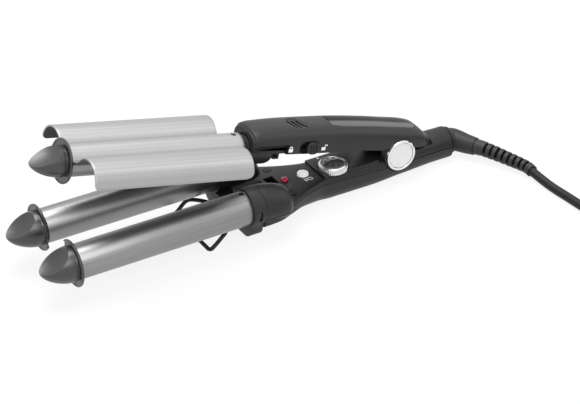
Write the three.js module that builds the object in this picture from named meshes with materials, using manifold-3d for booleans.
// Three-barrel hair waver, shown open: two lower barrels on a handle, an upper jaw with one barrel
// between two wings, a wire stand, a temperature dial and a swivelling cord.
// Millimetres, +Z up, table at z = 0, jaw pivot over the origin, barrel tips at -X.
import * as THREE from 'three';
import { mergeVertices } from 'three/addons/utils/BufferGeometryUtils.js';
import Module from 'manifold-3d';

const wasm = await Module();
wasm.setup();

// Fits
const GAP = 0.3; // between pieces that seat on each other
const RUN = 0.5; // between pieces that move past each other

// Lower barrels, their tips and the collar that holds them
const BARREL_RADIUS = 11;
const BARREL_WALL = 1;
const BARREL_SPACING = 46.8; // between the two lower axes
const BARREL_HEIGHT = 23.4; // axes over the table
const BARREL_SHOWN = 116.1; // from tip to collar
const BARREL_SOCKETED = 6; // length inside the lower housing
const SCALLOP_LENGTH = 3; // clearance for the upper flange behind the lower one
const FLANGE_RADIUS = 15;
const FLANGE_THICKNESS = 1.6;
const CAP_LENGTH = 20.8; // nose in front of the flange
const CAP_BASE_RADIUS = 11.4;
const CAP_HUB_LENGTH = 8; // inside the barrel
const FACET_RADIUS = 20; // flatter face on the upper front of each nose
const FACET_DEPTH = 0; // of that face under the round nose's base
const FACET_AIM = [-0.72, -0.3, 0.62]; // direction that it faces
const SCREW_HEAD_RADIUS = 1.5;
const SCREW_SETBACK = 2.6; // of the barrel screws, in front of the collar
const CREST_SCREW_SETBACK = 4.2; // in front of the crest's rear end
const COLLAR_LENGTH = 8.6;
const COLLAR_WALL = 1.2;
const COLLAR_BOTTOM = 2.6;
const COLLAR_CORNER = 9;

// Lower housing, stations measured from the pivot towards the tips
const HANDLE_FRONT = 110.6;
const STEP_STATION = 55.5;
const KNUCKLE_FRONT = 13;
const HANDLE_HALF_WIDTH = 13.8;
const DECK_HEIGHT = 18;
const PLATEAU_HEIGHT = DECK_HEIGHT + 1.2;
const SHELL_WALL = 2;
const NECK_RADIUS = 10;
const NECK_HEIGHT = 9.3;
const NECK_REAR = 43.5;
const SEAM_FRONT = DECK_HEIGHT - 0.8; // parting seam of the two halves, at the collar and at the neck
const SEAM_REAR = NECK_HEIGHT + 0.2;
const DECK_THICKNESS = 1.6;
const DECK_SCREW_STATION = 81;
const DECK_SCREW_OFFSET = 16.4;
const TROUGH_REAR = 91; // station of the wall behind the nose's trough
const WIRE_WAY_RADIUS = 4.6;
const STUB_RADIUS = 7.4; // of the swivel in the neck

// Pivot
const PIVOT_HEIGHT = 19.4;
const OPEN_ANGLE = 13.4;
const PIN_RADIUS = 2.5;
const CHEEK_RADIUS = 11.2;
const KNUCKLE_HALF_WIDTH = 8.2;
const CHEEK_HALF_WIDTH = 13.6;
const KNUCKLE_RADIUS = 8;
const KNUCKLE_ROOM = 12.4; // radius of the space in the jaw that the knuckle turns in
const SPRING_HALF = 5.4; // half width of the spring's slot
const SPRING_ROOM = 7.2;
const PIVOT_CAP_RADIUS = 10.5;
const PIVOT_CAP_THICKNESS = 2;

// Upper jaw, given with the jaw shut
const CREST_RADIUS = BARREL_SPACING / 2 - BARREL_RADIUS - 2.5;
const CREST_HEIGHT = 25.1; // axis of the middle barrel over the table
const SHEET = 1; // thickness of the pressed plate
const VALLEY_HEIGHT = 28.6; // crease between crest and wing
const CREST_HALF_ANGLE = 62;
const WING_CLEARANCE = 0.8; // to the lower barrel when shut
const WING_LIP_ANGLE = 94;
const WING_FRONT_STATION = 232.4;
const WING_REAR_STATION = 124;
const CREST_REAR_STATION = 116;
const UPPER_FLANGE_RADIUS = CREST_RADIUS + 4;
const UPPER_CAP_BASE_RADIUS = CREST_RADIUS - 0.1;
const UPPER_FLANGE_SETBACK = 0.4; // behind the front face of the lower flanges
const UPPER_FRONT = 112;
const UPPER_TOP = 41;
const UPPER_BOTTOM = 24.6;
const UPPER_REAR = 26.4;
const UPPER_WALL = 2;
const JAW_TAIL_RISE = 3; // underside of the jaw behind the pivot, over the pivot axis
const LINER_HEIGHT = 25.8;
const LINER_THICKNESS = 1.6;
const PLATE_FRONT = -52; // gloss plate let into the top
const PLATE_REAR = 14;
const PLATE_HALF_WIDTH = 8;
const VENT_CENTRE = [-76.2, -2.1];
const VENT_LENGTH = 10.5;
const VENT_WIDTH = 1.7;
const VENT_PITCH = 3.4;
const VENT_SLANT = 15; // degrees
const NOSE_REAR = 92.4; // station of the rear end of the round nose
const SOCKET_RADIUS = CREST_RADIUS + 0.7; // round nose under the upper housing
const RING_RADIUS = CREST_RADIUS - 1.3; // insulating ring where the barrel enters

// Controls
const DIAL_STATION = 44.6;
const DIAL_OFFSET = 4.6; // towards the near side
const DIAL_RADIUS = 9.6;
const DIAL_HEIGHT = 4.5;
const DIAL_STEM_RADIUS = 2.9;
const DIAL_STEM_LENGTH = 4.4;
const POT_HEIGHT = 3.2;
const DIAL_TEETH = 24;
const BUTTON_STATION = 64.3;
const BUTTON_RADIUS = 3.7;
const BUTTON_RISE = 1.6;
const BUTTON_DEPTH = 2.6; // under the deck's surface
const LED_STATION = 77.8;
const LED_RADIUS = 2.4;
const LED_RISE = 2;
const LOCK_STATION = 71.5;
const LOCK_HEIGHT = 29;
const LOCK_LENGTH = 14.6;
const LOCK_WIDTH = 9;
const LOCK_TRAVEL = 4.5;
const KNOB_THICKNESS = 2.2;
const LOCK_NECK = 5; // length of the slider's neck through the wall
const LOCK_RECESS = -13.1; // floor of the slider's recess
const ARM_HEIGHT = 2; // of the slider's arm inside the jaw
const ARM_WIDTH = 1.8;
const NOTCH_FRONT = 89; // stations of the notch in the deck that the hook drops into
const NOTCH_REAR = 82;
const HOOK_Y = 3.6; // middle of the hook, beyond the middle of the jaw
const HOOK_HALF_WIDTH = 2.4;
const HOOK_THICKNESS = NOTCH_FRONT - NOTCH_REAR - LOCK_TRAVEL - 2 * RUN;
const HOOK_TOP = DECK_HEIGHT - DECK_THICKNESS - GAP;
const TOE_REACH = 2.7; // of the hook's toe under the deck
const TOE_THICKNESS = 1.2;

// Wire stand
const WIRE_RADIUS = 1.3;
const STAND_HALF_WIDTH = 24;
const STAND_PIVOT_STATION = 125.6;
const STAND_PIVOT_HEIGHT = 10.6;
const STAND_REACH = 19.5;
const STAND_PIVOT_HALF_WIDTH = 7;

// Swivel, boot and cord
const CORD_RADIUS = 3;
const BOOT_RADIUS = 5.2;
const BOOT_END_RADIUS = 3.9;
const BOOT_RIBS = 8;
const COIL_CENTRE = [125, -136];
const COIL_MEAN_RADIUS = 36;
const COIL_PITCH = 7.5;
const COIL_LAYER = 6.8;
const COIL_LAYERS = 4;
const COIL_TURNS = 53 / 24; // turns in each layer
const COIL_START = 178; // degrees round from +X
const TIE_THICKNESS = 1.2;
const TIE_WIDTH = 9;
const TIE_ANGLE = 232; // degrees round from +X
const PLUG_LENGTH = 35;
const PLUG_HALF_HEIGHT = 7;
const PIN_LENGTH = 19;
const PIN_SPACING = 18.6;
const TAIL_RADIUS = 30; // bend of the last stretch, in over the coil to the plug
const TAIL_TURN = 100; // degrees

const bootStart = new THREE.Vector3(57.5, -15.5, 8.4);
const bootEnd = new THREE.Vector3(74, -56, 5);
const bootLeaves = new THREE.Vector3(0.5, -0.86, -0.03).normalize();
const cordLeaves = new THREE.Vector3(0.03, -0.995, -0.09).normalize();

const RAD = Math.PI / 180;
const collarFront = -(HANDLE_FRONT + COLLAR_LENGTH);
const barrelFront = collarFront - BARREL_SHOWN;
const flangeFront = barrelFront - SCALLOP_LENGTH;
const halfSpacing = BARREL_SPACING / 2;
const wingOuter = BARREL_RADIUS + WING_CLEARANCE + SHEET;
const wingInner = BARREL_RADIUS + WING_CLEARANCE;
const sides = { near: -1, far: 1 };

// Solids

/** A closed geometry as a solid for joining and cutting. */
function solid(geometry) {
  const clean = geometry.clone();
  for (const name of Object.keys(clean.attributes)) {
    if (name !== 'position') clean.deleteAttribute(name);
  }
  const merged = mergeVertices(clean, 1e-5);
  const triangles = merged.index ? merged.index.array : [...merged.attributes.position.array.keys()];
  return new wasm.Manifold(new wasm.Mesh({
    numProp: 3,
    vertProperties: new Float32Array(merged.attributes.position.array),
    triVerts: new Uint32Array(triangles),
  }));
}

/** The solid's surface as a geometry with one normal to a facet. */
function geometryOf(body) {
  const mesh = body.getMesh();
  const geometry = new THREE.BufferGeometry();
  geometry.setAttribute('position', new THREE.BufferAttribute(new Float32Array(mesh.vertProperties), 3));
  geometry.setIndex(new THREE.BufferAttribute(new Uint32Array(mesh.triVerts), 1));
  geometry.computeVertexNormals();
  return geometry;
}

/** Closed body through rings of equally many points, rings in order along +X, points from +Y to +Z. */
function loft(rings) {
  const count = rings[0].length;
  const positions = rings.flat().flatMap((point) => [point.x, point.y, point.z]);
  const middle = (ring) => ring.reduce((sum, point) => sum.add(point), new THREE.Vector3()).divideScalar(count);
  const first = middle(rings[0]);
  const last = middle(rings.at(-1));
  positions.push(first.x, first.y, first.z, last.x, last.y, last.z);
  const firstIndex = rings.length * count;
  const index = [];
  for (let k = 0; k < rings.length - 1; k += 1) {
    for (let j = 0; j < count; j += 1) {
      const a = k * count + j;
      const d = k * count + ((j + 1) % count);
      index.push(a, d, a + count, d, d + count, a + count);
    }
  }
  const lastRing = (rings.length - 1) * count;
  for (let j = 0; j < count; j += 1) {
    const next = (j + 1) % count;
    index.push(firstIndex, next, j, firstIndex + 1, lastRing + j, lastRing + next);
  }
  const geometry = new THREE.BufferGeometry();
  geometry.setAttribute('position', new THREE.Float32BufferAttribute(positions, 3));
  geometry.setIndex(index);
  return geometry;
}

/** Smooth function through [x, value] points, without overshoot. */
function through(points) {
  const slopes = points.map((point, i) => {
    const before = points[Math.max(i - 1, 0)];
    const after = points[Math.min(i + 1, points.length - 1)];
    const left = i > 0 ? (point[1] - before[1]) / (point[0] - before[0]) : 0;
    const right = i < points.length - 1 ? (after[1] - point[1]) / (after[0] - point[0]) : 0;
    return left * right <= 0 ? 0 : (2 * left * right) / (left + right);
  });
  return (x) => {
    let i = points.findIndex((point) => point[0] > x) - 1;
    if (i < 0) i = x <= points[0][0] ? 0 : points.length - 2;
    const [x0, v0] = points[i];
    const [x1, v1] = points[i + 1];
    const span = x1 - x0;
    const t = THREE.MathUtils.clamp((x - x0) / span, 0, 1);
    const t2 = t * t;
    const t3 = t2 * t;
    return (2 * t3 - 3 * t2 + 1) * v0 + (t3 - 2 * t2 + t) * span * slopes[i]
      + (3 * t2 - 2 * t3) * v1 + (t3 - t2) * span * slopes[i + 1];
  };
}

/** Rounded section at x: widest at the waist, squarer where the exponent is higher. */
function sectionRing(x, halfWidth, bottom, waist, top, lowerPower, upperPower, count = 24) {
  const ring = [];
  for (let j = 0; j < count; j += 1) {
    const angle = (j / count) * 2 * Math.PI;
    const across = Math.cos(angle);
    const up = Math.sin(angle);
    const power = 2 / (up >= 0 ? upperPower : lowerPower);
    const height = up >= 0 ? top - waist : waist - bottom;
    const y = Math.sign(across) * Math.abs(across) ** power * halfWidth;
    ring.push(new THREE.Vector3(x, y, waist + Math.sign(up) * Math.abs(up) ** power * height));
  }
  return ring;
}

/** Box from its low corner to its high corner. */
function box(low, high) {
  const size = high.map((value, i) => value - low[i]);
  const geometry = new THREE.BoxGeometry(...size);
  return solid(geometry.translate(...high.map((value, i) => (value + low[i]) / 2)));
}

/** Turned body about an axis along X through (y, z), from [x, radius] points that start and end on it. */
function turned(profile, y, z, segments = 32) {
  const points = profile.map(([x, radius]) => new THREE.Vector2(radius, x));
  const geometry = new THREE.LatheGeometry(points, segments);
  geometry.rotateZ(-Math.PI / 2);
  return solid(geometry.translate(0, y, z));
}

/** Round rod between two stations on an axis along X. */
function rodX(from, to, radius, y, z, segments = 32) {
  return turned([[from, 0], [from, radius], [to, radius], [to, 0]], y, z, segments);
}

/** Round rod along Y. */
function rodY(from, to, radius, x, z, segments = 32) {
  const geometry = new THREE.CylinderGeometry(radius, radius, to - from, segments);
  return solid(geometry.translate(x, (from + to) / 2, z));
}

/** Round rod along Z. */
function rodZ(from, to, radius, x, y, segments = 24) {
  const geometry = new THREE.CylinderGeometry(radius, radius, to - from, segments);
  geometry.rotateX(Math.PI / 2);
  return solid(geometry.translate(x, y, (from + to) / 2));
}

/** Outline in the YZ plane drawn out along X. */
function drawnX(points, from, to) {
  const shape = new THREE.Shape(points.map(([y, z]) => new THREE.Vector2(y, z)));
  const geometry = new THREE.ExtrudeGeometry(shape, { depth: to - from, bevelEnabled: false });
  const turn = new THREE.Matrix4().makeBasis(
    new THREE.Vector3(0, 1, 0), new THREE.Vector3(0, 0, 1), new THREE.Vector3(1, 0, 0),
  );
  return solid(geometry.applyMatrix4(turn).translate(from, 0, 0));
}

/** Points of an arc about (y, z), angles from straight up towards -Y, in degrees. */
function arc(y, z, radius, from, to, steps) {
  return Array.from({ length: steps + 1 }, (_, i) => {
    const angle = (from + ((to - from) * i) / steps) * RAD;
    return [y - radius * Math.sin(angle), z + radius * Math.cos(angle)];
  });
}

/** Tube along a curve, its radius given at each share of the length. */
function taperedTube(curve, radiusAt, steps, corners) {
  const frames = curve.computeFrenetFrames(steps, false);
  const rings = [];
  for (let k = 0; k <= steps; k += 1) {
    const centre = curve.getPointAt(k / steps);
    const ring = [];
    for (let j = 0; j < corners; j += 1) {
      const angle = (j / corners) * 2 * Math.PI;
      const out = frames.normals[k].clone().multiplyScalar(Math.cos(angle))
        .addScaledVector(frames.binormals[k], Math.sin(angle));
      ring.push(centre.clone().addScaledVector(out, radiusAt(k / steps)));
    }
    rings.push(ring);
  }
  return solid(loft(rings));
}

/** Everything over or under a plane that falls from the front seam to the rear seam. */
function overSeam(offset) {
  const reach = 400;
  const slope = (SEAM_REAR - SEAM_FRONT) / (NECK_REAR + HANDLE_FRONT);
  const block = new THREE.BoxGeometry(reach, reach, reach);
  block.translate(0, 0, reach / 2);
  block.rotateY(-Math.atan(slope));
  return solid(block.translate(-HANDLE_FRONT, 0, SEAM_FRONT + offset));
}

// The object and how its pieces are placed

const waver = new THREE.Group();
const jaw = new THREE.Group();
jaw.position.set(0, 0, PIVOT_HEIGHT);
jaw.rotation.y = OPEN_ANGLE * RAD;
waver.add(jaw);

const finish = {
  housing: { color: 0x3a3a3b, roughness: 0.55, metalness: 0 },
  bracket: { color: 0x454545, roughness: 0.7, metalness: 0 },
  barrel: { color: 0x9a9b9d, roughness: 0.35, metalness: 1 },
  plate: { color: 0xc9cacb, roughness: 0.4, metalness: 1 },
  gloss: { color: 0x0c0c0d, roughness: 0.08, metalness: 0 },
  chrome: { color: 0xe2e3e4, roughness: 0.15, metalness: 1 },
  smoke: { color: 0x2b2b2c, roughness: 0.1, metalness: 0 },
  white: { color: 0xe9e9e7, roughness: 0.35, metalness: 0 },
  red: { color: 0xb3152a, roughness: 0.2, metalness: 0 },
  steel: { color: 0x8f9193, roughness: 0.35, metalness: 1 },
  blackened: { color: 0x161616, roughness: 0.45, metalness: 0.6 },
  rubber: { color: 0x2c2c2d, roughness: 0.7, metalness: 0 },
  ceramic: { color: 0xd9d4c8, roughness: 0.8, metalness: 0 },
  board: { color: 0x1f6b3c, roughness: 0.6, metalness: 0 },
};

/** Adds a named piece to the lower half, or to the jaw when that is the parent. */
function piece(name, body, look, parent = waver) {
  const mesh = new THREE.Mesh(geometryOf(body), new THREE.MeshStandardMaterial(finish[look]));
  mesh.name = name;
  if (parent === jaw) mesh.position.set(0, 0, -PIVOT_HEIGHT);
  parent.add(mesh);
}

const join = (bodies) => bodies.reduce((sum, body) => sum.add(body));

// Barrels and tips

/** Bullet nose with a flatter face, a rim flange and a hub that sits in the barrel. */
function tipCap(front, flangeRadius, baseRadius, hubRadius, hubEnd, y, z) {
  const steps = 6;
  const nose = Array.from({ length: steps + 1 }, (_, i) => {
    const t = (i / steps) ** 1.4;
    return [front - CAP_LENGTH * (1 - t), baseRadius * (1 - (1 - t) ** 1.75) ** 0.6];
  });
  const facing = new THREE.Vector3(...FACET_AIM).normalize();
  const middle = new THREE.Vector3(front, y, z).addScaledVector(facing, baseRadius - FACET_DEPTH - FACET_RADIUS);
  const ball = new THREE.SphereGeometry(FACET_RADIUS, 24, 14).translate(middle.x, middle.y, middle.z);
  const bullet = turned([...nose, [front + 0.1, baseRadius], [front + 0.1, 0]], y, z, 24).intersect(solid(ball));
  const rim = turned([[front, 0], [front, flangeRadius - 0.3], [front + 0.3, flangeRadius],
    [front + FLANGE_THICKNESS, flangeRadius], [front + FLANGE_THICKNESS, hubRadius], [hubEnd, hubRadius],
    [hubEnd, 0]], y, z, 24);
  return bullet.add(rim);
}

/** Room that the middle flange needs as it comes down between the lower tips. */
function flangePassage() {
  const radius = UPPER_FLANGE_RADIUS + RUN;
  const from = flangeFront - 0.1;
  const to = barrelFront;
  return rodX(from, to, radius, 0, CREST_HEIGHT, 20)
    .add(box([from, -radius, CREST_HEIGHT], [to, radius, CREST_HEIGHT + 40]));
}

function lowerBarrels() {
  const inner = BARREL_RADIUS - BARREL_WALL;
  const rear = -HANDLE_FRONT + BARREL_SOCKETED;
  const screwX = collarFront - SCREW_SETBACK;
  for (const [side, sign] of Object.entries(sides)) {
    const y = sign * halfSpacing;
    const hole = rodZ(BARREL_HEIGHT, BARREL_HEIGHT + 20, SCREW_HEAD_RADIUS + GAP, screwX, y, 12);
    const barrel = rodX(barrelFront, rear, BARREL_RADIUS, y, BARREL_HEIGHT, 28)
      .subtract(rodX(barrelFront - 1, rear + 1, inner, y, BARREL_HEIGHT, 28))
      .subtract(hole);
    piece(`barrel_${side}`, barrel, 'barrel');

    const hub = BARREL_RADIUS - 0.2;
    const cap = tipCap(flangeFront, FLANGE_RADIUS, CAP_BASE_RADIUS, hub, barrelFront - GAP, y, BARREL_HEIGHT)
      .add(rodX(barrelFront - 1, barrelFront + CAP_HUB_LENGTH, inner - GAP, y, BARREL_HEIGHT, 20))
      .subtract(flangePassage());
    piece(`tip_cap_${side}`, cap, 'housing');

    const head = BARREL_HEIGHT + BARREL_RADIUS - 0.6;
    piece(`barrel_screw_${side}`, rodZ(head - 3.4, head, SCREW_HEAD_RADIUS, screwX, y, 12), 'blackened');
    piece(`heater_${side}`, heater(barrelFront + 14, collarFront - 12, inner - GAP, y, BARREL_HEIGHT), 'ceramic');
  }
}

/** Heating element: a flat ceramic core pressed between two round-backed shoes, as one bonded stack. */
function heater(from, to, radius, y, z) {
  const coreHalf = 2.2;
  const coreWidth = radius - 1.6;
  const shoe = rodX(from + 3, to - 3, radius, y, z, 28)
    .subtract(box([from, y - radius, z - coreHalf], [to, y - radius * 0.55, z + coreHalf]))
    .subtract(box([from, y + radius * 0.55, z - coreHalf], [to, y + radius, z + coreHalf]));
  return shoe.add(box([from, y - coreWidth, z - coreHalf + 0.6], [to, y + coreWidth, z + coreHalf - 0.6]));
}

// Collar with its bridge, and the wire stand

function frontCollar() {
  const radius = BARREL_RADIUS + GAP + COLLAR_WALL;
  const rear = -HANDLE_FRONT - GAP;
  const half = [
    ...arc(halfSpacing - 2, COLLAR_BOTTOM + COLLAR_CORNER, COLLAR_CORNER, -180, -100, 4),
    ...arc(halfSpacing, BARREL_HEIGHT, radius, -130, 138, 18),
  ];
  const mirrored = half.map(([y, z]) => [-y, z]).reverse();
  let collar = drawnX([...half, ...mirrored], collarFront, rear);
  for (const sign of [1, -1]) {
    const y = sign * halfSpacing;
    collar = collar.subtract(rodX(collarFront - 1, rear + 1, BARREL_RADIUS + GAP, y, BARREL_HEIGHT, 32));
    const slot = box([-1.1, Math.min(sign * 8, sign * 16), -5.5], [1.1, Math.max(sign * 8, sign * 16), 1.5]);
    collar = collar.subtract(slot.translate([collarFront + 4.5, y, BARREL_HEIGHT]));
  }
  return collar;
}

/** Bridge in front of the collar, ribbed on top, with the two lugs that the stand turns in. */
function standBracket() {
  const rear = collarFront - GAP;
  const front = -STAND_PIVOT_STATION - 4;
  const top = CREST_HEIGHT - CREST_RADIUS - 2 * RUN;
  const half = STAND_PIVOT_HALF_WIDTH - 1;
  let bracket = box([front, -half, STAND_PIVOT_HEIGHT - 4], [rear, half, top - 1]);
  const ribs = 5;
  for (let i = 0; i < ribs; i += 1) {
    const y = -half + 0.6 + (i * (2 * half - 1.2 - 1.2)) / (ribs - 1);
    bracket = bracket.add(box([front + 1, y, top - 1.2], [rear - 1, y + 1.2, top]));
  }
  return bracket.subtract(rodY(-40, 40, WIRE_RADIUS + GAP, -STAND_PIVOT_STATION, STAND_PIVOT_HEIGHT, 20));
}

/** One bent wire: pivot, knee under the barrel, leg, foot bar and back to the pivot. */
function standWire() {
  const x = -STAND_PIVOT_STATION;
  const foot = x - STAND_REACH;
  const knee = x - 9.2;
  const low = WIRE_RADIUS + 0.05;
  const kneeHeight = BARREL_HEIGHT - BARREL_RADIUS - WIRE_RADIUS - RUN - 1.1;
  const wide = STAND_HALF_WIDTH;
  const half = [
    [x, STAND_PIVOT_HALF_WIDTH + 1, STAND_PIVOT_HEIGHT],
    [x, STAND_PIVOT_HALF_WIDTH + 3.5, STAND_PIVOT_HEIGHT],
    [x - 2, wide - 9, STAND_PIVOT_HEIGHT],
    [knee + 1.5, wide - 1.2, kneeHeight],
    [knee - 1, wide, kneeHeight - 0.9],
    [foot + 3.4, wide, low + 2.2],
    [foot + 1, wide - 0.3, low + 0.4],
    [foot, wide - 2, low],
    [foot, wide - 5, low],
  ];
  const across = ([px, y, z]) => new THREE.Vector3(px, -y, z);
  const points = [
    new THREE.Vector3(x, -(STAND_PIVOT_HALF_WIDTH - 5), STAND_PIVOT_HEIGHT),
    ...half.map(across),
    ...half.toReversed().map(([px, y, z]) => new THREE.Vector3(px, y, z)),
    new THREE.Vector3(x, STAND_PIVOT_HALF_WIDTH - 5, STAND_PIVOT_HEIGHT),
  ];
  const path = new THREE.CatmullRomCurve3(points, false, 'centripetal');
  return taperedTube(path, () => WIRE_RADIUS, 40, 6);
}

// Lower housing

const lowerHalfWidth = through([
  [-HANDLE_FRONT, 33], [-100, 32.4], [-88.5, 28.2], [-78, 22.6], [-68, 18], [-STEP_STATION, HANDLE_HALF_WIDTH + 0.5],
  [-40, HANDLE_HALF_WIDTH], [-10, HANDLE_HALF_WIDTH - 0.3], [6, HANDLE_HALF_WIDTH - 1], [18, HANDLE_HALF_WIDTH - 2.2],
  [32, NECK_RADIUS + 0.3], [NECK_REAR, NECK_RADIUS]]);
const lowerBottom = through([
  [-HANDLE_FRONT, 7.8], [-90, 8.3], [-80, 6.1], [-70, 2.6], [-60, 0.3], [-50, -1.2], [-20, -1.6], [5, -0.3],
  [20, -0.3], [NECK_REAR, NECK_HEIGHT - NECK_RADIUS]]);
const lowerTop = through([
  [-HANDLE_FRONT, DECK_HEIGHT], [-20, DECK_HEIGHT], [14, DECK_HEIGHT], [NECK_REAR, NECK_HEIGHT + NECK_RADIUS]]);
const lowerUpperPower = through([[-HANDLE_FRONT, 9], [-50, 6], [0, 4.5], [NECK_REAR, 2]]);
const lowerStations = [-HANDLE_FRONT, -99, -89, -81, -75, -69, -61, -51, -34, -16, 2, 14, 22, 32, NECK_REAR];
const lowerHollowStations = [-HANDLE_FRONT, -84, -70, -58, -33, -8, 18, NECK_REAR];

/** Outside of the lower housing, drawn in by an inset for its hollow. */
function lowerForm(inset, stations = lowerStations, count = 20) {
  const rings = stations.map((station) => {
    const x = THREE.MathUtils.clamp(station, -HANDLE_FRONT + inset, NECK_REAR - inset);
    const waist = THREE.MathUtils.mapLinear(x, -HANDLE_FRONT, NECK_REAR, 13, NECK_HEIGHT);
    const top = lowerTop(x) - Math.min(inset, DECK_THICKNESS);
    const half = lowerHalfWidth(x) - inset;
    return sectionRing(x, half, lowerBottom(x) + inset, waist, top, 2.6, lowerUpperPower(x), count);
  });
  const bodies = [solid(loft(rings))];
  for (const sign of [1, -1]) bodies.push(barrelSocket(sign, inset, count));
  return join(bodies);
}

/** Round socket for one barrel end, sinking into the deck behind it with a blunt round end. */
function barrelSocket(sign, inset, count) {
  const round = COLLAR_WALL + BARREL_RADIUS + 0.1;
  const rear = -86.5;
  const radiusAt = through([
    [-HANDLE_FRONT, round], [-100, round - 0.4], [-93, round - 1.5], [-89, 8.6], [rear, 5.5]]);
  const offsetAt = through([
    [-HANDLE_FRONT, halfSpacing], [-100, halfSpacing], [-93, halfSpacing - 0.4], [rear, halfSpacing - 1.9]]);
  const heightAt = through([[-HANDLE_FRONT, BARREL_HEIGHT], [-100, BARREL_HEIGHT - 1.5], [-93, 20.2], [-89, 19],
    [rear, 17.5]]);
  const rings = [];
  const steps = Math.ceil(count / 3);
  const front = -HANDLE_FRONT + inset;
  for (let i = 0; i <= steps; i += 1) {
    const x = front + (rear - inset - front) * Math.sin((i / steps) * (Math.PI / 2));
    const radius = radiusAt(x) - inset;
    rings.push(sectionRing(x, radius, heightAt(x) - radius, heightAt(x), heightAt(x) + radius, 2, 2, count)
      .map((point) => point.setY(point.y + sign * offsetAt(x))));
  }
  return solid(loft(rings));
}

/** Half-round trough that the nose of the upper housing drops into. */
function trough(radius, rear) {
  return rodX(-HANDLE_FRONT - 1, rear, radius, 0, CREST_HEIGHT, 24)
    .add(box([-HANDLE_FRONT - 1, -radius, CREST_HEIGHT], [rear, radius, CREST_HEIGHT + 20]));
}

/** Space that the cheeks of the jaw turn in, outside the knuckle. */
function cheekPocket(radius, inside) {
  const outside = HANDLE_HALF_WIDTH + 5;
  const pockets = [1, -1].map((sign) => {
    const from = Math.min(sign * inside, sign * outside);
    const to = Math.max(sign * inside, sign * outside);
    return rodY(from, to, radius, 0, PIVOT_HEIGHT, 24)
      .add(box([-radius, from, PIVOT_HEIGHT], [radius, to, PIVOT_HEIGHT + 20]));
  });
  return join(pockets);
}

/** Whole lower housing before it is parted at its seam. */
function lowerHousing() {
  const plateauHalf = HANDLE_HALF_WIDTH - 1.6;
  const plateauFrom = [-STEP_STATION, -plateauHalf, DECK_HEIGHT - 3];
  const plateau = box(plateauFrom, [-KNUCKLE_FRONT - 2, plateauHalf, PLATEAU_HEIGHT])
    .subtract(rodZ(DECK_HEIGHT, PLATEAU_HEIGHT + 1, DIAL_RADIUS + RUN, -DIAL_STATION, -DIAL_OFFSET, 28));
  const knuckle = rodY(-KNUCKLE_HALF_WIDTH, KNUCKLE_HALF_WIDTH, KNUCKLE_RADIUS, 0, PIVOT_HEIGHT, 24);
  const ground = box([-300, -80, -30], [300, 80, 0]);
  const troughRadius = SOCKET_RADIUS + RUN + 0.2;
  const hollowRear = -KNUCKLE_FRONT - 3;
  const hollow = lowerForm(SHELL_WALL, lowerHollowStations, 10)
    .subtract(box([hollowRear, -60, -10], [100, 60, 60]))
    .subtract(trough(troughRadius + SHELL_WALL, -TROUGH_REAR + SHELL_WALL))
    .intersect(box([-300, -80, SHELL_WALL], [300, 80, 60]));
  const spring = rodY(-SPRING_HALF, SPRING_HALF, SPRING_ROOM, 0, PIVOT_HEIGHT, 20)
    .add(box([-12, -SPRING_HALF, PIVOT_HEIGHT - 1], [12, SPRING_HALF, PIVOT_HEIGHT + 12]));
  let housing = join([lowerForm(0), plateau, knuckle])
    .subtract(ground)
    .subtract(trough(troughRadius, -TROUGH_REAR))
    .subtract(hollow)
    .subtract(rodX(hollowRear - 1, NECK_REAR + 1, WIRE_WAY_RADIUS, 0, NECK_HEIGHT, 20))
    .subtract(cheekPocket(CHEEK_RADIUS + RUN, KNUCKLE_HALF_WIDTH))
    .subtract(rodY(-30, 30, PIN_RADIUS + GAP, 0, PIVOT_HEIGHT, 24))
    .subtract(spring)
    .subtract(rodX(NECK_REAR - 8, NECK_REAR + 1, STUB_RADIUS + RUN, 0, NECK_HEIGHT, 32))
    .subtract(openRearTop());
  for (const sign of [1, -1]) {
    const y = sign * halfSpacing;
    const seatRear = -HANDLE_FRONT + BARREL_SOCKETED + 1;
    housing = housing.subtract(rodX(-HANDLE_FRONT - 1, seatRear, BARREL_RADIUS + GAP, y, BARREL_HEIGHT, 24));
  }
  return housing.subtract(hookNotch());
}

/** Room over the neck for the tail of the jaw when it is open. */
function openRearTop() {
  const reach = UPPER_REAR + 4 * RUN;
  const block = new THREE.BoxGeometry(reach, 60, 30);
  block.translate(reach / 2, 0, 15 + JAW_TAIL_RISE - RUN);
  block.rotateY(OPEN_ANGLE * RAD);
  return solid(block.translate(0, 0, PIVOT_HEIGHT))
    .subtract(rodY(-60, 60, KNUCKLE_RADIUS + 0.05, 0, PIVOT_HEIGHT, 24));
}

/** Notch in the deck that the hook drops into, and the slot in the trough's rear wall that its toe slides into. */
function hookNotch() {
  const half = HOOK_HALF_WIDTH + RUN;
  const low = HOOK_TOP - TOE_THICKNESS - RUN;
  return box([-NOTCH_FRONT, -1.5, DECK_HEIGHT - 2 * DECK_THICKNESS], [-NOTCH_REAR, 8.5, DECK_HEIGHT + 1])
    .add(box([-TROUGH_REAR - 1, HOOK_Y - half, low], [1 - NOTCH_FRONT, HOOK_Y + half, DECK_HEIGHT - DECK_THICKNESS]));
}

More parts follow.
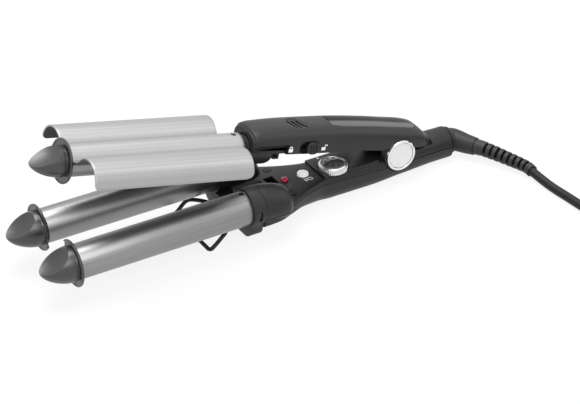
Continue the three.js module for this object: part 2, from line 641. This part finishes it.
/** The two halves of the lower housing with their holes, and the screws between them. */
function lowerHousingHalves() {
  const whole = lowerHousing();
  const headSeat = DECK_HEIGHT - 1.1;
  const post = (from, to, radius, sign, corners = 20) => rodZ(from, to, radius, -DECK_SCREW_STATION,
    sign * DECK_SCREW_OFFSET, corners);
  const bosses = [1, -1].map((sign) => post(8.4, SEAM_FRONT - 3.2, 3.2, sign));
  const screwHoles = [1, -1].map((sign) => post(9.6, 40, 1.6, sign, 16).add(post(headSeat, 40, 2.8, sign)));
  const shell = join([whole.subtract(overSeam(-GAP / 2)), ...bosses]).subtract(join(screwHoles));
  piece('lower_shell', shell, 'housing');

  const opening = (radius, station, y = 0, corners = 20) => rodZ(DECK_HEIGHT - 6, 40, radius, -station, y, corners);
  const deck = whole.intersect(overSeam(GAP / 2))
    .subtract(join(screwHoles))
    .subtract(opening(LED_RADIUS + GAP, LED_STATION))
    .subtract(opening(BUTTON_RADIUS + GAP, BUTTON_STATION, 0, 24))
    .subtract(opening(DIAL_STEM_RADIUS + RUN, DIAL_STATION, -DIAL_OFFSET));
  piece('lower_deck', deck, 'housing');

  for (const [side, sign] of Object.entries(sides)) {
    const head = post(headSeat + GAP, DECK_HEIGHT + 0.2, 2.5, sign, 16);
    piece(`deck_screw_${side}`, post(9.9, DECK_HEIGHT - 0.5, 1.2, sign, 12).add(head), 'blackened');
  }
}

// Controls and what they work on

/** Turned piece standing up, from [radius, height] points. */
function turnedUp(profile, x, y, z, corners) {
  const points = profile.map(([radius, height]) => new THREE.Vector2(radius, height));
  return solid(new THREE.LatheGeometry(points, corners).rotateX(Math.PI / 2)).translate([x, y, z]);
}

function controls() {
  const x = -DIAL_STATION;
  const y = -DIAL_OFFSET;
  const base = DECK_HEIGHT + GAP;
  const teeth = Array.from({ length: DIAL_TEETH * 2 }, (_, i) => {
    const angle = (i / (DIAL_TEETH * 2)) * 2 * Math.PI;
    const radius = DIAL_RADIUS - (i % 2) * 0.45;
    return new THREE.Vector2(radius * Math.cos(angle), radius * Math.sin(angle));
  });
  const rim = new THREE.ExtrudeGeometry(new THREE.Shape(teeth), { depth: DIAL_HEIGHT, bevelEnabled: false });
  const bevel = turnedUp([[0, 0], [DIAL_RADIUS - 0.4, 0], [DIAL_RADIUS, 0.5], [DIAL_RADIUS, DIAL_HEIGHT - 0.9],
    [DIAL_RADIUS - 1.1, DIAL_HEIGHT], [0, DIAL_HEIGHT]], 0, 0, 0, 24);
  const wellDepth = 1.2;
  const well = rodZ(DIAL_HEIGHT - wellDepth, DIAL_HEIGHT + 2, DIAL_RADIUS - 1.9, 0, 0, 24);
  const stem = rodZ(-DIAL_STEM_LENGTH, 0.5, DIAL_STEM_RADIUS, 0, 0, 20);
  const dial = solid(rim).intersect(bevel).subtract(well).add(stem).translate([x, y, base]);
  piece('dial_ring', dial, 'chrome');

  const domeRadius = DIAL_RADIUS - 1.9 - GAP;
  const dome = [[0, 0], [domeRadius, 0], [domeRadius, 0.5], [domeRadius - 0.8, 1.15], [domeRadius - 2.4, 1.6],
    [0, 1.95]];
  piece('dial_dome', turnedUp(dome, x, y, base + DIAL_HEIGHT - wellDepth + GAP, 24), 'smoke');

  const potTop = base - DIAL_STEM_LENGTH - GAP;
  const potSeat = potTop - POT_HEIGHT;
  piece('potentiometer', rodZ(potSeat, potTop, 5.6, x, y, 24), 'steel');

  const buttonFoot = DECK_HEIGHT - BUTTON_DEPTH;
  const buttonTop = BUTTON_DEPTH + BUTTON_RISE;
  const button = [[0, 0], [BUTTON_RADIUS, 0], [BUTTON_RADIUS, buttonTop - 0.7],
    [BUTTON_RADIUS - 0.5, buttonTop - 0.2], [0, buttonTop]];
  piece('power_button', turnedUp(button, -BUTTON_STATION, 0, buttonFoot, 20), 'white');
  const switchTop = buttonFoot - 1.2 - GAP;
  const switchFoot = switchTop - 3.4;
  const tact = box([-BUTTON_STATION - 3, -3, switchFoot], [-BUTTON_STATION + 3, 3, switchTop - 0.6])
    .add(rodZ(switchTop - 1, switchTop, 1.7, -BUTTON_STATION, 0, 16));
  piece('tact_switch', tact, 'steel');

  const led = [[0, 0], [LED_RADIUS, 0], [LED_RADIUS, LED_RISE + 1.7], [LED_RADIUS * 0.82, LED_RISE + 2.4],
    [LED_RADIUS * 0.45, LED_RISE + 2.85], [0, LED_RISE + 3]];
  piece('led_indicator', turnedUp(led, -LED_STATION, 0, DECK_HEIGHT - 3, 16), 'red');
  circuitBoard(switchFoot - GAP, potSeat - GAP);
}

/** Board under the deck, with a seat for each control where the board itself lies lower. */
function circuitBoard(switchSeat, potSeat) {
  const thickness = 1.6;
  const top = Math.min(switchSeat, potSeat);
  const half = 8;
  const seat = (station, y, size, height) => box(
    [-station - size, y - size, top - 0.5], [-station + size, y + size, height]);
  const parts = [
    box([-LED_STATION - 2, -half, top - thickness], [-DIAL_STATION + 10, half, top]),
    seat(BUTTON_STATION, 0, 3, switchSeat + 0.01),
    seat(LED_STATION, 0, 2, DECK_HEIGHT - 3 - GAP),
    seat(DIAL_STATION, -DIAL_OFFSET, 3.4, potSeat),
    seat(LED_STATION - 3, 5.4, 1.8, top + 3),
    rodZ(top - 0.5, top + 3.6, 2.2, -BUTTON_STATION + 8, 4.4, 16),
    ...[[-48, 3.6], [-48, -3.6], [-38, 3.6]].map(([x, y]) => rodZ(SHELL_WALL + GAP, top - 0.5, 1.6, x, y, 12)),
  ];
  piece('circuit_board', join(parts), 'board');
}

// Upper jaw, drawn shut

const upperHalfWidth = through([
  [-UPPER_FRONT, SOCKET_RADIUS + 1.4], [-110, SOCKET_RADIUS + 2.5], [-105, SOCKET_RADIUS + 3.3],
  [-84, HANDLE_HALF_WIDTH + 0.4], [-54, HANDLE_HALF_WIDTH + 0.2], [-20, HANDLE_HALF_WIDTH], [5, CHEEK_HALF_WIDTH],
  [14, 13], [19, 12.2], [22, 10.8], [UPPER_REAR, 7.4]]);
const upperTop = through([
  [-UPPER_FRONT, UPPER_TOP - 3.4], [-110.2, UPPER_TOP - 1.5], [-105, UPPER_TOP - 0.7], [-84, UPPER_TOP],
  [-54, UPPER_TOP - 0.4], [-20, UPPER_TOP - 2.5], [-4, UPPER_TOP - 4.2], [8, UPPER_TOP - 5.5], [16, UPPER_TOP - 7.1],
  [22, UPPER_TOP - 11.4], [UPPER_REAR, UPPER_TOP - 13.8]]);
const upperBottom = through([
  [-UPPER_FRONT, CREST_HEIGHT + 0.4], [-100, CREST_HEIGHT], [-88, UPPER_BOTTOM], [-54, UPPER_BOTTOM - 1.1],
  [-34, UPPER_BOTTOM - 1.3], [-10, UPPER_BOTTOM - 2.7], [8, PIVOT_HEIGHT + JAW_TAIL_RISE], [UPPER_REAR, PIVOT_HEIGHT + JAW_TAIL_RISE]]);
const upperStations = [-UPPER_FRONT, -110, -105, -96, -84, -69, -54, -37, -20, -4, 8, 16, 19.5, 22, 24.4, UPPER_REAR];
const upperHollowStations = [-UPPER_FRONT, -105, -84, -54, -20, 8, UPPER_REAR];

/** Outside of the upper housing, drawn in by an inset for its hollow. */
function upperForm(inset, stations = upperStations, count = 20) {
  const rings = stations.map((station) => {
    const x = THREE.MathUtils.clamp(station, -UPPER_FRONT + inset, UPPER_REAR - inset);
    const top = upperTop(x) - inset;
    const bottom = upperBottom(x) + inset;
    const waist = bottom + (top - bottom) * 0.4;
    return sectionRing(x, upperHalfWidth(x) - inset, bottom, waist, top, 8, 2.9, count);
  });
  return solid(loft(rings));
}

/** Room for the lower sockets, which lie against the flanks of the upper housing when it is shut. */
function socketFlutes() {
  const radius = COLLAR_WALL + BARREL_RADIUS + 0.1 + RUN + 0.1;
  return join([1, -1].map((sign) => rodX(-UPPER_FRONT - 2, -87, radius, sign * halfSpacing, BARREL_HEIGHT, 24)));
}

/** Three slanted slots in a shallow scoop in the top. */
function vents() {
  const [x, y] = VENT_CENTRE;
  const scoop = new THREE.SphereGeometry(1, 16, 8).rotateX(Math.PI / 2).scale(7.4, 8.2, 1.5);
  const slots = [-1, 0, 1].map((step) => {
    const slot = new THREE.BoxGeometry(VENT_WIDTH, VENT_LENGTH, 3 * UPPER_WALL);
    slot.rotateZ(VENT_SLANT * RAD);
    return solid(slot.translate(x + step * VENT_PITCH, y, UPPER_TOP - 1));
  });
  return join([solid(scoop.translate(x, y, UPPER_TOP + 0.1)), ...slots]);
}

/** Outline of the slider's recess or knob, an oval of straight sides and round ends. */
function slotOval(length, width) {
  const oval = new THREE.Shape();
  const straight = (length - width) / 2;
  oval.absarc(straight, 0, width / 2, -Math.PI / 2, Math.PI / 2);
  oval.absarc(-straight, 0, width / 2, Math.PI / 2, 1.5 * Math.PI);
  return oval;
}

/** Openings in the upper housing that the lock works in. */
function lockOpenings() {
  const oval = slotOval(LOCK_LENGTH, LOCK_WIDTH);
  const recess = new THREE.ExtrudeGeometry(oval, { depth: 6, bevelEnabled: false, curveSegments: 8 });
  recess.rotateX(Math.PI / 2);
  recess.translate(-LOCK_STATION, LOCK_RECESS, LOCK_HEIGHT);
  const slotHalf = (LOCK_TRAVEL + LOCK_NECK) / 2 + RUN;
  const tall = ARM_HEIGHT / 2 + RUN;
  const half = HOOK_HALF_WIDTH + RUN;
  const neckSlot = box([-slotHalf, -20, -tall], [slotHalf, -10, tall]).translate([-LOCK_STATION, 0, LOCK_HEIGHT]);
  const hookSlot = box([-NOTCH_FRONT, HOOK_Y - half, HOOK_TOP], [-NOTCH_REAR, HOOK_Y + half, LOCK_HEIGHT - tall]);
  return solid(recess).add(neckSlot).add(hookSlot);
}

function upperHousing() {
  const bore = SOCKET_RADIUS - 1.3;
  const noseRear = [[6.4, 0], [3.4, 0.6], [1.1, 2.4], [0, 5.4], [0, SOCKET_RADIUS]]
    .map(([before, within]) => [-NOSE_REAR - before, SOCKET_RADIUS - within]);
  const nose = turned([[-UPPER_FRONT, 0], [-UPPER_FRONT, SOCKET_RADIUS], ...noseRear], 0, CREST_HEIGHT, 24);
  const hollow = upperForm(UPPER_WALL, upperHollowStations, 12)
    .subtract(box([-KNUCKLE_FRONT, -60, 0], [100, 60, 60]))
    .add(rodX(-UPPER_FRONT + 8, -NOSE_REAR - 4, bore, 0, CREST_HEIGHT, 32));
  const clear = HANDLE_HALF_WIDTH - UPPER_WALL - GAP;
  const underside = box([-86, -clear, 0], [-KNUCKLE_FRONT, clear, LINER_HEIGHT + LINER_THICKNESS + 1.2]);
  const cheeks = rodY(-CHEEK_HALF_WIDTH, CHEEK_HALF_WIDTH, CHEEK_RADIUS, 0, PIVOT_HEIGHT, 28);
  const inside = KNUCKLE_HALF_WIDTH + RUN;
  const knuckleRoom = rodY(-inside, inside, KNUCKLE_ROOM, 0, PIVOT_HEIGHT, 20)
    .add(box([-KNUCKLE_ROOM - 1.6, -inside, 0], [10, inside, PIVOT_HEIGHT + 3]));
  const housing = join([upperForm(0), nose, cheeks])
    .subtract(socketFlutes())
    .subtract(hollow)
    .subtract(underside)
    .subtract(knuckleRoom)
    .subtract(rodY(-30, 30, PIN_RADIUS + GAP, 0, PIVOT_HEIGHT, 24))
    .subtract(rodX(-UPPER_FRONT - 1, -NOSE_REAR - 4, RING_RADIUS + GAP, 0, CREST_HEIGHT, 28))
    .subtract(rodX(-UPPER_FRONT - 1, -UPPER_FRONT + 2, SOCKET_RADIUS - 0.9, 0, CREST_HEIGHT, 28))
    .subtract(vents())
    .subtract(lockOpenings())
    .subtract(plateBlock(GAP));
  piece('upper_housing', housing, 'housing', jaw);
}

/** The bare gloss plate let into the top, a slice of the housing's own surface. */
function plateBlock(margin) {
  const outline = new THREE.Shape();
  const from = PLATE_FRONT - margin;
  const to = PLATE_REAR + margin;
  const half = PLATE_HALF_WIDTH + margin;
  outline.moveTo(from, half - 2);
  outline.quadraticCurveTo(from + 4, half, from + 14, half);
  outline.lineTo(to - 5, half - 0.6);
  outline.quadraticCurveTo(to, half - 1, to, 0);
  outline.quadraticCurveTo(to, -half + 1, to - 5, -half + 0.6);
  outline.lineTo(from + 14, -half);
  outline.quadraticCurveTo(from + 4, -half, from, -half + 2);
  const column = new THREE.ExtrudeGeometry(outline, { depth: 40, bevelEnabled: false, curveSegments: 5 });
  return solid(column.translate(0, 0, PIVOT_HEIGHT + 8)).subtract(upperForm(1 + margin));
}

function upperPieces() {
  upperHousing();
  piece('name_plate', plateBlock(0).intersect(upperForm(0)), 'gloss', jaw);

  const half = HANDLE_HALF_WIDTH - UPPER_WALL - 2 * GAP;
  const lockRoom = LOCK_LENGTH / 2;
  const hookRoom = HOOK_HALF_WIDTH + RUN;
  const linerFrom = [-86 + GAP, -half, LINER_HEIGHT];
  const liner = box(linerFrom, [-KNUCKLE_FRONT - 3, half, LINER_HEIGHT + LINER_THICKNESS])
    .subtract(box([-LOCK_STATION - lockRoom, -half - 1, 0], [-LOCK_STATION + lockRoom, 2 - half, 60]))
    .subtract(box([-NOTCH_FRONT, HOOK_Y - hookRoom, 0], [-NOTCH_REAR, HOOK_Y + hookRoom, 60]))
    .subtract(rodZ(0, 60, DIAL_RADIUS - 1, -DIAL_STATION, -DIAL_OFFSET, 28));
  piece('upper_liner', liner, 'bracket', jaw);

  wavePlate();
  middleBarrel();
  lockSlider();
  pivotPieces();
}

/** One pressed sheet: a wing over each lower barrel and a crest over the middle one. */
function wavePlate() {
  const front = -WING_FRONT_STATION;
  const rear = -WING_REAR_STATION;
  const wings = Object.values(sides).map((sign) => {
    const y = sign * halfSpacing;
    const from = sign > 0 ? -WING_LIP_ANGLE : -70;
    const to = sign > 0 ? 70 : WING_LIP_ANGLE;
    const outer = arc(y, BARREL_HEIGHT, wingOuter, from, to, 14);
    return drawnX([...outer, ...arc(y, BARREL_HEIGHT, wingInner, to, from, 14)], front, rear);
  });
  const edge = CREST_HALF_ANGLE + 8;
  const crest = drawnX([
    ...arc(0, CREST_HEIGHT, CREST_RADIUS, -edge, edge, 14),
    ...arc(0, CREST_HEIGHT, CREST_RADIUS - SHEET, edge, -edge, 14),
  ], flangeFront + UPPER_FLANGE_SETBACK + FLANGE_THICKNESS + GAP, -CREST_REAR_STATION);
  const onCrest = (radius, angle) => [radius * Math.sin(angle * RAD), CREST_HEIGHT + radius * Math.cos(angle * RAD)];
  const onWing = (radius, angle) => [halfSpacing - radius * Math.sin(angle * RAD),
    BARREL_HEIGHT + radius * Math.cos(angle * RAD)];
  const valleys = Object.values(sides).map((sign) => {
    const low = (CREST_RADIUS + halfSpacing - wingOuter) / 2;
    const points = [
      onCrest(CREST_RADIUS, CREST_HALF_ANGLE), [low, VALLEY_HEIGHT], onWing(wingOuter, 64), onWing(wingInner, 69),
      [low, VALLEY_HEIGHT - 1.2 * SHEET], onCrest(CREST_RADIUS - SHEET, edge),
    ].map(([y, z]) => [sign * y, z]);
    return drawnX(points, front, rear);
  });
  const screwX = -CREST_REAR_STATION - CREST_SCREW_SETBACK;
  const screwHole = rodZ(CREST_HEIGHT, CREST_HEIGHT + 20, SCREW_HEAD_RADIUS + GAP, screwX, 0, 12);
  piece('wave_plate', join([...wings, ...valleys, crest]).subtract(screwHole), 'plate', jaw);
}

/** Middle barrel, stepped down under the crest, with its tip, heater, ring and screw. */
function middleBarrel() {
  const front = flangeFront + UPPER_FLANGE_SETBACK + FLANGE_THICKNESS + GAP;
  const rear = -CREST_REAR_STATION;
  const inner = CREST_RADIUS - SHEET - GAP - BARREL_WALL;
  const step = CREST_HALF_ANGLE + 18;
  const round = [
    ...arc(0, CREST_HEIGHT, CREST_RADIUS - SHEET - GAP, -step, step, 20),
    ...arc(0, CREST_HEIGHT, CREST_RADIUS, step, 360 - step, 26),
  ];
  const screwX = rear - CREST_SCREW_SETBACK;
  let barrel = drawnX(round, front, rear)
    .subtract(rodX(-300, 0, inner, 0, CREST_HEIGHT, 28))
    .subtract(rodZ(CREST_HEIGHT, CREST_HEIGHT + 20, SCREW_HEAD_RADIUS + GAP, screwX, 0, 12));
  for (const sign of [1, -1]) {
    const [from, to] = [-WING_FRONT_STATION - 1, -WING_REAR_STATION + 1];
    barrel = barrel.subtract(rodX(from, to, wingOuter + GAP, sign * halfSpacing, BARREL_HEIGHT, 64));
  }
  piece('middle_barrel', barrel, 'barrel', jaw);

  const capFront = flangeFront + UPPER_FLANGE_SETBACK;
  const hubEnd = front + CAP_HUB_LENGTH;
  const cap = tipCap(capFront, UPPER_FLANGE_RADIUS, UPPER_CAP_BASE_RADIUS, inner - GAP, hubEnd, 0, CREST_HEIGHT);
  piece('middle_tip_cap', cap, 'housing', jaw);
  piece('middle_heater', heater(front + 14, -WING_REAR_STATION, inner - GAP, 0, CREST_HEIGHT), 'ceramic', jaw);
  const screwTop = CREST_HEIGHT + CREST_RADIUS - 0.6;
  const screw = rodZ(CREST_HEIGHT + inner - 3, screwTop, SCREW_HEAD_RADIUS, screwX, 0, 12);
  piece('crest_screw', screw, 'blackened', jaw);

  const ringRear = -UPPER_FRONT + 12;
  const ring = rodX(rear - 2, ringRear, inner - GAP, 0, CREST_HEIGHT, 20)
    .add(rodX(rear + GAP, ringRear, RING_RADIUS, 0, CREST_HEIGHT, 24))
    .add(rodX(rear + GAP, rear + 2.2, RING_RADIUS + 0.9, 0, CREST_HEIGHT, 24))
    .subtract(rodX(-200, -50, inner - GAP - 1.6, 0, CREST_HEIGHT, 16));
  piece('barrel_ring', ring, 'bracket', jaw);
}

/** Station of the slider's middle when the lock is open. */
function lockCentre() {
  return -LOCK_STATION + LOCK_TRAVEL / 2;
}

/** Thumb slider: knob in its recess, neck through the wall, arm inside the jaw, hook that locks under the deck. */
function lockSlider() {
  const x = lockCentre();
  const oval = slotOval(LOCK_LENGTH - LOCK_TRAVEL - 2 * RUN, LOCK_WIDTH - 2 * RUN);
  const face = LOCK_RECESS - GAP;
  const knob = new THREE.ExtrudeGeometry(oval, { depth: KNOB_THICKNESS, bevelEnabled: false, curveSegments: 8 });
  knob.rotateX(Math.PI / 2);
  let body = solid(knob.translate(x, face, LOCK_HEIGHT));
  for (const shift of [-2, 0, 2]) {
    const groove = box([shift - 0.4, -1, -2.4], [shift + 0.4, 0.5, 2.4]);
    body = body.subtract(groove.translate([x, face - KNOB_THICKNESS, LOCK_HEIGHT]));
  }
  const low = LOCK_HEIGHT - ARM_HEIGHT / 2;
  const high = LOCK_HEIGHT + ARM_HEIGHT / 2;
  const stemRear = -NOTCH_REAR - RUN;
  const stemFront = stemRear - HOOK_THICKNESS;
  const near = HOOK_Y - HOOK_HALF_WIDTH;
  const far = HOOK_Y + HOOK_HALF_WIDTH;
  const neck = box([x - LOCK_NECK / 2, face - 0.5, low], [x + LOCK_NECK / 2, -9, high]);
  const crossbar = box([x - ARM_WIDTH / 2, -10, low], [x + ARM_WIDTH / 2, HOOK_Y + ARM_WIDTH / 2, high]);
  const arm = box([stemFront, HOOK_Y - ARM_WIDTH / 2, low], [x, HOOK_Y + ARM_WIDTH / 2, high]);
  const stem = box([stemFront, near, HOOK_TOP - TOE_THICKNESS], [stemRear, far, high]);
  const toe = box([stemFront - TOE_REACH, near, HOOK_TOP - TOE_THICKNESS], [stemRear, far, HOOK_TOP]);
  piece('lock_slider', join([body, neck, crossbar, arm, stem, toe]), 'bracket', jaw);
}

// Pivot

function pivotPieces() {
  piece('pivot_pin', rodY(0.4 - CHEEK_HALF_WIDTH, CHEEK_HALF_WIDTH - 0.4, PIN_RADIUS, 0, PIVOT_HEIGHT, 24), 'steel');
  for (const [side, sign] of Object.entries(sides)) {
    const seat = CHEEK_HALF_WIDTH + GAP;
    const profile = [[0, 0], [PIVOT_CAP_RADIUS, 0], [PIVOT_CAP_RADIUS, PIVOT_CAP_THICKNESS - 0.7],
      [PIVOT_CAP_RADIUS - 0.7, PIVOT_CAP_THICKNESS], [PIVOT_CAP_RADIUS - 1.9, PIVOT_CAP_THICKNESS],
      [PIVOT_CAP_RADIUS - 2.2, PIVOT_CAP_THICKNESS - 0.4], [0, PIVOT_CAP_THICKNESS - 0.4]];
    const disc = new THREE.LatheGeometry(profile.map(([radius, height]) => new THREE.Vector2(radius, height)), 24);
    if (sign < 0) disc.rotateX(Math.PI);
    piece(`pivot_cap_${side}`, solid(disc.translate(0, sign * seat, PIVOT_HEIGHT)), 'chrome', jaw);
  }
  piece('jaw_spring', torsionSpring(), 'steel');
}

/** Torsion spring round the pin, one leg down on the lower housing and one forward under the jaw. */
function torsionSpring() {
  const wire = 0.6;
  const radius = 4.4;
  const turns = 2.5;
  const width = 2 * (SPRING_HALF - wire - GAP - 0.2);
  const steps = 10 * turns;
  const points = [];
  points.push(new THREE.Vector3(radius * 0.8, -width / 2, PIVOT_HEIGHT - 5.2));
  for (let i = 0; i <= steps; i += 1) {
    const angle = (i / steps) * turns * 2 * Math.PI;
    const y = -width / 2 + (width * i) / steps;
    points.push(new THREE.Vector3(radius * Math.cos(angle), y, PIVOT_HEIGHT + radius * Math.sin(angle)));
  }
  points.push(new THREE.Vector3(-radius - 0.1, width / 2, PIVOT_HEIGHT + 3));
  const path = new THREE.CatmullRomCurve3(points, false, 'centripetal');
  return taperedTube(path, () => wire, 8 * turns + 8, 5);
}

// Swivel, boot, cord and plug


function swivel() {
  const stubEnd = NECK_REAR - 7;
  const stub = rodX(stubEnd, NECK_REAR + 2, STUB_RADIUS, 0, NECK_HEIGHT, 20);
  const rimProfile = [[RUN, 0], [RUN, 8.6], [1.4, 9.1], [3, 9], [4.6, 7.6], [4.6, 0]];
  const rim = turned(rimProfile.map(([along, radius]) => [NECK_REAR + along, radius]), 0, NECK_HEIGHT, 20);
  const bend = new THREE.CatmullRomCurve3([
    new THREE.Vector3(NECK_REAR + 1, 0, NECK_HEIGHT), new THREE.Vector3(NECK_REAR + 5, -0.6, NECK_HEIGHT),
    bootStart.clone().addScaledVector(bootLeaves, -6), bootStart]);
  const elbow = taperedTube(bend, (t) => THREE.MathUtils.lerp(7.8, BOOT_RADIUS + 0.6, t), 6, 14);
  const hole = rodX(stubEnd - 1, NECK_REAR + 3, CORD_RADIUS + GAP, 0, NECK_HEIGHT, 12);
  piece('swivel_elbow', join([stub, rim, elbow]).subtract(hole), 'bracket');

  const boot = new THREE.CatmullRomCurve3([
    bootStart.clone().addScaledVector(bootLeaves, GAP), bootStart.clone().addScaledVector(bootLeaves, 6),
    bootStart.clone().lerp(bootEnd, 0.55).add(new THREE.Vector3(2.2, 0, 0)),
    bootEnd.clone().addScaledVector(cordLeaves, -5), bootEnd]);
  const ribbed = (t) => {
    const plain = THREE.MathUtils.lerp(BOOT_RADIUS, BOOT_END_RADIUS, t);
    const phase = ((t - 0.12) / 0.8) * BOOT_RIBS;
    return phase > 0 && phase < BOOT_RIBS && phase % 1 > 0.5 ? plain - 0.9 : plain;
  };
  piece('strain_relief', taperedTube(boot, ribbed, 33, 8), 'rubber');
}

/** Centre line of the coil: layers that spiral in and out, climbing in the half turn between them. */
function coilPoints() {
  const stepsPerTurn = 24;
  const swing = (COIL_TURNS * COIL_PITCH) / 2;
  const inner = COIL_MEAN_RADIUS - swing;
  const outer = COIL_MEAN_RADIUS + swing;
  const floor = CORD_RADIUS + TIE_THICKNESS + GAP;
  const points = [];
  let angle = COIL_START * RAD;
  const add = (radius, height) => points.push(new THREE.Vector3(
    COIL_CENTRE[0] + radius * Math.cos(angle), COIL_CENTRE[1] + radius * Math.sin(angle), floor + height));
  for (let layer = 0; layer < COIL_LAYERS; layer += 1) {
    const inward = layer % 2 === 0;
    const steps = Math.round(COIL_TURNS * stepsPerTurn);
    for (let i = 0; i < steps; i += 1) {
      const t = i / steps;
      add(inward ? outer - 2 * swing * t : inner + 2 * swing * t, layer * COIL_LAYER);
      angle += (2 * Math.PI) / stepsPerTurn;
    }
    if (layer === COIL_LAYERS - 1) break;
    for (let i = 0; i < stepsPerTurn / 2; i += 1) {
      add(inward ? inner : outer, (layer + (2 * i) / stepsPerTurn) * COIL_LAYER);
      angle += (2 * Math.PI) / stepsPerTurn;
    }
  }
  add(outer, (COIL_LAYERS - 1) * COIL_LAYER);
  return points;
}

/** Tube through given points, one ring at each point, so that its facets are those points' own. */
function tubeThrough(points, radius, corners) {
  const up = new THREE.Vector3(0, 0, 1);
  const rings = points.map((point, i) => {
    const along = points[Math.min(i + 1, points.length - 1)].clone().sub(points[Math.max(i - 1, 0)]).normalize();
    const across = new THREE.Vector3().crossVectors(up, along).normalize();
    const over = new THREE.Vector3().crossVectors(along, across);
    return Array.from({ length: corners }, (_, j) => {
      const angle = ((j + 0.5) / corners) * 2 * Math.PI;
      return point.clone().addScaledVector(across, radius * Math.cos(angle))
        .addScaledVector(over, radius * Math.sin(angle));
    });
  });
  return solid(loft(rings));
}

/** Least clear distance between stretches of a centre line that are not neighbours, less its thickness. */
function leastGap(points, radius, apart) {
  let least = Infinity;
  for (let i = 0; i < points.length; i += 1) {
    for (let j = i + apart; j < points.length; j += 1) {
      least = Math.min(least, points[i].distanceTo(points[j]));
    }
  }
  return least - 2 * radius;
}

function cord() {
  const coil = coilPoints();
  const first = coil[0];
  const into = coil[1].clone().sub(first).normalize();
  const joint = GAP;
  const exit = bootEnd.clone().addScaledVector(cordLeaves, joint);
  const route = [
    exit, exit.clone().addScaledVector(cordLeaves, 6), new THREE.Vector3(75.2, -76, CORD_RADIUS + 0.3),
    new THREE.Vector3(76.8, -92, CORD_RADIUS + 0.1), new THREE.Vector3(78.2, -108, CORD_RADIUS + 0.1),
    first.clone().addScaledVector(into, -joint - 14).setZ(CORD_RADIUS + 0.4),
    first.clone().addScaledVector(into, -joint - 6), first.clone().addScaledVector(into, -joint)];
  const stretch = new THREE.CatmullRomCurve3(route, false, 'centripetal');
  piece('cord_stretch', taperedTube(stretch, () => CORD_RADIUS, 24, 8), 'rubber');
  piece('cord_coil', tubeThrough(coil, CORD_RADIUS, 6), 'rubber');

  const last = coil.at(-1);
  const leaving = last.clone().sub(coil.at(-2)).normalize();
  const inwards = new THREE.Vector3(-leaving.y, leaving.x, 0).normalize();
  const climb = plugHeight() - last.z;
  const straight = joint + 2;
  const tailRoute = [joint, straight].map((run) => last.clone().addScaledVector(leaving, run));
  for (let i = 1; i <= 7; i += 1) {
    const turn = (i / 7) * TAIL_TURN * RAD;
    tailRoute.push(last.clone().addScaledVector(leaving, TAIL_RADIUS * Math.sin(turn) + straight)
      .addScaledVector(inwards, TAIL_RADIUS * (1 - Math.cos(turn)))
      .setZ(last.z + climb * THREE.MathUtils.smoothstep(i / 7, 0, 1)));
  }
  const points = leaving.clone().applyAxisAngle(new THREE.Vector3(0, 0, 1), TAIL_TURN * RAD).setZ(0).normalize();
  tailRoute.push(tailRoute.at(-1).clone().addScaledVector(points, 6));
  const plug = tailRoute.at(-1).clone().addScaledVector(points, joint);
  const tail = new THREE.CatmullRomCurve3(tailRoute, false, 'centripetal');
  piece('cord_tail', taperedTube(tail, () => CORD_RADIUS, 16, 8), 'rubber');

  const length = (points) => points.slice(1).reduce((sum, point, i) => sum + point.distanceTo(points[i]), 0);
  const whole = stretch.getLength() + length(coil) + tail.getLength();
  console.log(`cord ${whole.toFixed(0)} mm, coil least gap ${leastGap(coil, CORD_RADIUS, 12).toFixed(2)} mm`);
  tie();
  plugPieces(plug, points);
}

/** Soft band round the bundle of loops, clear of the plug that lies on them. */
function tie() {
  const swing = (COIL_TURNS * COIL_PITCH) / 2;
  const inner = COIL_MEAN_RADIUS - swing - CORD_RADIUS - GAP;
  const outer = COIL_MEAN_RADIUS + swing + CORD_RADIUS + GAP;
  const top = 2 * CORD_RADIUS + (COIL_LAYERS - 1) * COIL_LAYER + TIE_THICKNESS + 2 * GAP;
  const t = TIE_THICKNESS;
  const band = box([inner - t, -TIE_WIDTH / 2, 0], [outer + t, TIE_WIDTH / 2, top + t])
    .subtract(box([inner, -TIE_WIDTH, t], [outer, TIE_WIDTH, top]));
  const geometry = geometryOf(band);
  geometry.rotateZ(TIE_ANGLE * RAD);
  piece('cord_tie', solid(geometry.translate(COIL_CENTRE[0], COIL_CENTRE[1], 0)), 'rubber');
}

/** Height of the plug's middle as it lies on the coil. */
function plugHeight() {
  return TIE_THICKNESS + 2 * CORD_RADIUS + (COIL_LAYERS - 1) * COIL_LAYER + PLUG_HALF_HEIGHT + 2 * GAP;
}

/** Flat two-pin plug lying on its side face, with a tapered grip. */
function plugPieces(back, points) {
  const grip = [[0, 5.4, 5.2], [6, 6.2, 5.6], [12, 8.2, 6.4], [20, 13.4, 6.9], [27, 17.2, PLUG_HALF_HEIGHT],
    [PLUG_LENGTH, 17.4, PLUG_HALF_HEIGHT]];
  const rings = grip.map(([x, across, up]) => sectionRing(x, across, -up, 0, up, 3.2, 3.2, 24));
  const turn = Math.atan2(points.y, points.x);
  const place = (body) => solid(geometryOf(body).rotateZ(turn).translate(back.x, back.y, back.z));
  piece('plug_body', place(solid(loft(rings))), 'rubber');
  for (const [side, sign] of Object.entries(sides)) {
    const pin = rodX(PLUG_LENGTH + GAP, PLUG_LENGTH + PIN_LENGTH, 2, (sign * PIN_SPACING) / 2, 0, 14);
    piece(`plug_pin_${side}`, place(pin), 'chrome');
  }
}

lowerBarrels();
piece('front_collar', frontCollar(), 'bracket');
piece('stand_bracket', standBracket(), 'bracket');
piece('stand_wire', standWire(), 'blackened');
lowerHousingHalves();
controls();
upperPieces();
swivel();
cord();

export default waver;
